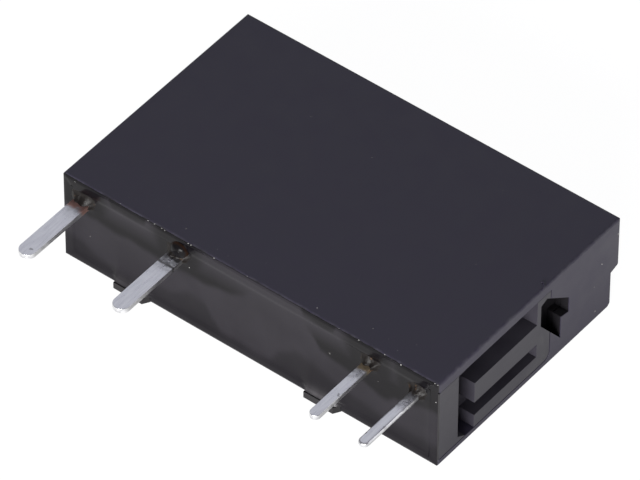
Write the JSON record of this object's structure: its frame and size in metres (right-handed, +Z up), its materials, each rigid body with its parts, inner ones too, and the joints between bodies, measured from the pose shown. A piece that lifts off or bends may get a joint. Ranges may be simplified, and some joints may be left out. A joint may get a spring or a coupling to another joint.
{
  "type": "pcb power relay",
  "caption": "Slim sealed power relay for a circuit board: black case standing on flat tinned pins, with a coil, armature, card and one switching contact inside.",
  "frame": {"origin": "middle of the pin row, on the board's surface that the feet stand on", "axes": "+X along the relay towards the coil pins, +Y across its thickness away from the pin row, +Z up from the board"},
  "size_m": [0.02, 0.0048, 0.0165],
  "materials": {
    "case": "black moulded plastic, fine grain",
    "base": "black moulded plastic, fine grain",
    "resin": "poured black epoxy, glossy",
    "tin": "tinned copper alloy, dull bright",
    "silver": "silver alloy",
    "blade": "rolled copper alloy",
    "rivet": "plated",
    "card": "natural moulded plastic",
    "spring": "rolled bronze strip",
    "iron": "plated soft iron",
    "bobbin": "moulded plastic",
    "winding": "enamelled copper wire"
  },
  "bodies": {
    "root": {"cover": "case", "base": "base", "resin_seal": "resin", "fixed_terminal": "tin", "common_terminal": "tin", "coil_terminal_a": "tin", "coil_terminal_b": "tin", "fixed_contact": "silver", "blade_rivets": "rivet", "hinge_rivet": "rivet", "hinge_spring": "spring", "yoke": "iron", "core": "iron", "bobbin": "bobbin", "coil_winding": "winding", "coil_lead_a": "winding", "coil_lead_b": "winding"},
    "armature": {"armature": "iron"},
    "card": {"actuator_card": "card"},
    "blade": {"contact_blade": "blade", "moving_contact": "silver"}
  },
  "joints": [
    {"name": "card_slide", "type": "slide", "parent": "root", "child": "card", "axis": [-1, 0, 0], "range_m": [0, 0.000468], "stiffness_N_per_m": 100},
    {"name": "armature_pivot", "type": "hinge", "parent": "root", "child": "armature", "pos_m": [-0.00148, 0.00137, 0.0076], "axis": [0, -1, 0], "range_deg": [0, 9]},
    {"name": "contact_flex", "type": "hinge", "parent": "root", "child": "blade", "pos_m": [-0.00432, 0.00137, 0.0028], "axis": [0, -1, 0], "range_deg": [0, 3.46]}
  ],
  "couplings": [
    {"joint": "armature_pivot", "follows": "card_slide", "rad_per_m": 335.57},
    {"joint": "contact_flex", "follows": "card_slide", "rad_per_m": 128.53}
  ]
}
